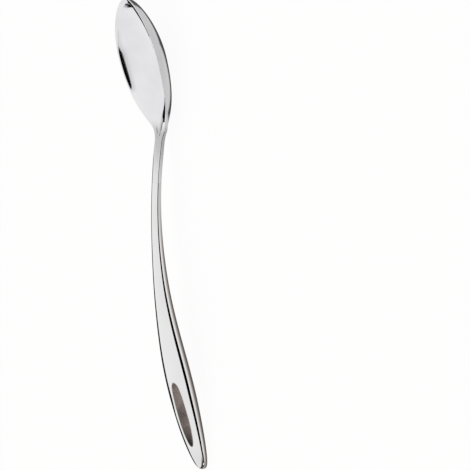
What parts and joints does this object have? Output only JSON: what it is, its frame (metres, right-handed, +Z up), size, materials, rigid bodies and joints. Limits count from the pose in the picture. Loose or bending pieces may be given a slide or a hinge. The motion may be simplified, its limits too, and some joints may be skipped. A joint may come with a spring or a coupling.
{
  "type": "serving spoon",
  "caption": "Polished steel serving spoon with a deep egg-shaped bowl, slim neck and arched hollow handle that widens to a rounded point with an almond hanging eye.",
  "frame": {"origin": "on the table under the middle of the spoon's length and width, with the spoon lying on its bowl and its handle's end", "axes": "+X along the spoon towards the bowl's tip, +Z up out of the face, +Y across the spoon"},
  "size_m": [0.24, 0.0396, 0.0173],
  "materials": {
    "bowl_steel": "mirror polished",
    "handle_back_steel": "mirror polished",
    "handle_front_steel": "mirror polished",
    "liner_steel": "dark satin"
  },
  "bodies": {
    "root": {"bowl": "bowl_steel", "handle_back": "handle_back_steel", "handle_front": "handle_front_steel", "eye_liner": "liner_steel"}
  },
  "joints": []
}
